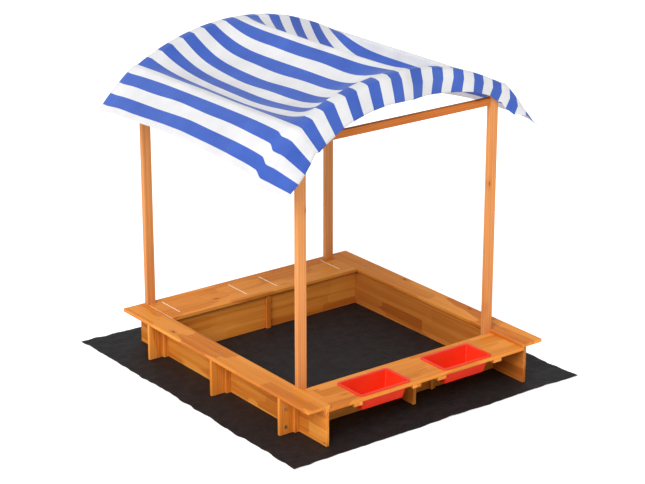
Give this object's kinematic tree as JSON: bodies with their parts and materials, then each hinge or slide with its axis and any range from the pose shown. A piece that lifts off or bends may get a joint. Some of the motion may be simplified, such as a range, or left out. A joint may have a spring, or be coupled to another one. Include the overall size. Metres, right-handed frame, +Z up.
{
  "type": "sandbox with cover",
  "caption": "Wooden sandbox with two side seats, a storage bench with lift-out lids, a front deck with drop-in basins, a ground cloth and a striped canopy on posts.",
  "frame": {"origin": "middle of the wooden frame, on the ground under the cloth", "axes": "+X right along the front, +Y to the storage bench at the back, +Z up"},
  "size_m": [1.438, 1.532, 1.3475],
  "materials": {
    "pine": "stained and oiled, satin",
    "canopy_cloth": "blue and white striped woven cloth",
    "ground_cloth": "black woven ground cloth",
    "basin_plastic": "moulded, slightly translucent",
    "zinc": "zinc plated"
  },
  "bodies": {
    "frame": {"back_rail": "pine", "back_rib": "pine", "back_wall_batten": "pine", "bench_top": "pine", "bracket_bolts": "zinc", "bracket_left_back": "pine", "bracket_left_front": "pine", "bracket_left_middle": "pine", "bracket_nuts": "zinc", "bracket_right_back": "pine", "bracket_right_front": "pine", "bracket_right_middle": "pine", "canopy": "canopy_cloth", "cleat_left_back": "pine", "cleat_left_front": "pine", "cleat_left_middle": "pine", "cleat_right_back": "pine", "cleat_right_front": "pine", "cleat_right_middle": "pine", "deck_batten_left_inner": "pine", "deck_batten_left_outer": "pine", "deck_batten_right_inner": "pine", "deck_batten_right_outer": "pine", "deck_bracket": "pine", "front_deck": "pine", "front_rail": "pine", "front_rib": "pine", "front_wall": "pine", "front_wall_cleat": "pine", "ground_cloth": "ground_cloth", "inner_back_wall": "pine", "lid_ledge_left_inner": "pine", "lid_ledge_left_outer": "pine", "lid_ledge_right_inner": "pine", "lid_ledge_right_outer": "pine", "outer_back_wall": "pine", "post_left_back": "pine", "post_left_front": "pine", "post_right_back": "pine", "post_right_front": "pine", "ridge_bar": "pine", "seat_left": "pine", "seat_right": "pine", "seat_screws": "zinc", "side_rail_left": "pine", "side_rail_right": "pine", "side_wall_left": "pine", "side_wall_right": "pine", "storage_divider": "pine", "wall_end_screws": "zinc"},
    "lid_left": {"lid_left": "pine"},
    "lid_right": {"lid_right": "pine"},
    "basin_left": {"basin_left": "basin_plastic"},
    "basin_right": {"basin_right": "basin_plastic"}
  },
  "joints": [
    {"name": "lid_left_lift", "type": "slide", "parent": "frame", "child": "lid_left", "axis": [0, 0, 1], "range_m": [0, 0.15]},
    {"name": "lid_right_lift", "type": "slide", "parent": "frame", "child": "lid_right", "axis": [0, 0, 1], "range_m": [0, 0.15]},
    {"name": "basin_left_lift", "type": "slide", "parent": "frame", "child": "basin_left", "axis": [0, 0, 1], "range_m": [0, 0.12]},
    {"name": "basin_right_lift", "type": "slide", "parent": "frame", "child": "basin_right", "axis": [0, 0, 1], "range_m": [0, 0.12]}
  ]
}
